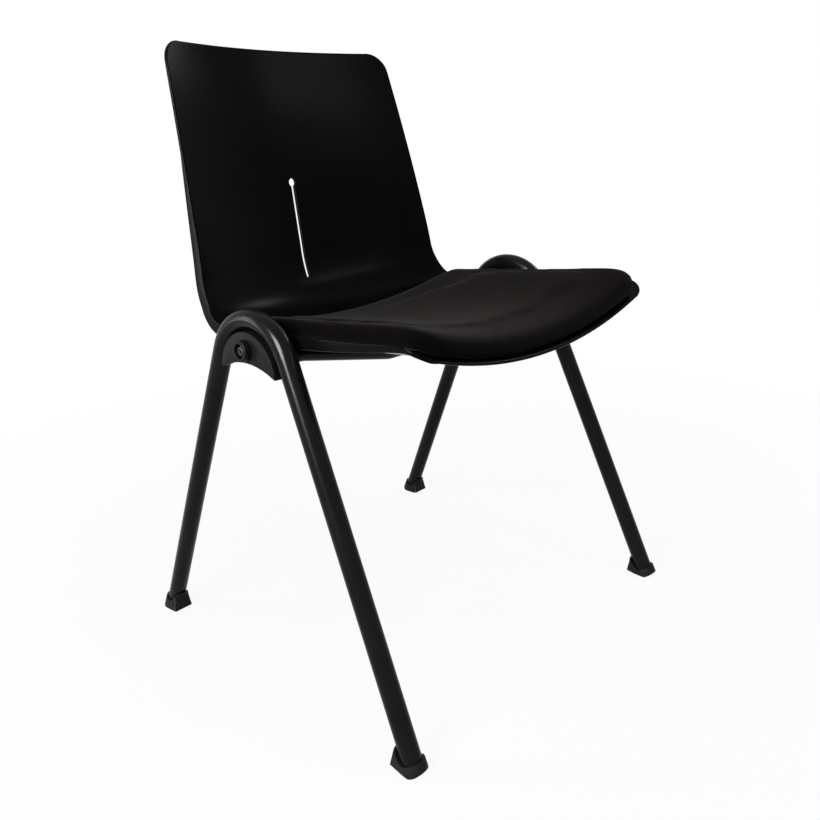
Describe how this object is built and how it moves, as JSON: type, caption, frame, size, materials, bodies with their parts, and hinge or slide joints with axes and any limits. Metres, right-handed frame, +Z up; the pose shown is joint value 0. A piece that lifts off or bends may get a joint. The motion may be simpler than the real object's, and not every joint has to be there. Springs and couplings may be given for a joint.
{
  "type": "stacking chair",
  "caption": "Stacking chair with A-shaped side frames of bent tube, a one-piece moulded shell for seat and back, and an upholstered seat pad.",
  "frame": {"origin": "on the floor, midway between the four feet, in the chair's plane of symmetry", "axes": "+Z up; the sitter faces -Y, so +X is the sitter's left"},
  "size_m": [0.5814, 0.5547, 0.8181],
  "materials": {
    "frame_paint": "satin black powder coat",
    "side_plastic": "fine moulded grain, black",
    "shell_plastic": "satin black moulded shell",
    "foot_plastic": "dull black glide plastic",
    "zinc_steel": "bright zinc plate",
    "black_steel": "black oxide",
    "board_plywood": "raw birch plywood",
    "seat_fabric": "woven black upholstery cloth"
  },
  "bodies": {
    "root": {"side_frame_left": "frame_paint", "side_frame_right": "frame_paint", "side_plate_left": "side_plastic", "side_plate_right": "side_plastic", "side_boss_left": "side_plastic", "side_boss_right": "side_plastic", "bolt_washer_left": "zinc_steel", "bolt_washer_right": "zinc_steel", "frame_bolt_left": "black_steel", "frame_bolt_right": "black_steel", "frame_lug_left": "frame_paint", "frame_lug_right": "frame_paint", "lug_nut_left": "zinc_steel", "lug_nut_right": "zinc_steel", "foot_front_left": "foot_plastic", "foot_front_right": "foot_plastic", "foot_rear_left": "foot_plastic", "foot_rear_right": "foot_plastic", "cross_tube_front": "frame_paint", "cross_tube_rear": "frame_paint", "support_arm_front_left": "frame_paint", "support_arm_front_right": "frame_paint", "support_arm_rear_left": "frame_paint", "support_arm_rear_right": "frame_paint", "seat_back_shell": "shell_plastic", "cushion_board": "board_plywood", "board_nut_front_left": "zinc_steel", "board_nut_front_right": "zinc_steel", "board_nut_rear_left": "zinc_steel", "board_nut_rear_right": "zinc_steel", "seat_screw_front_left": "black_steel", "seat_screw_front_right": "black_steel", "seat_screw_rear_left": "black_steel", "seat_screw_rear_right": "black_steel", "seat_cushion": "seat_fabric"}
  },
  "joints": []
}
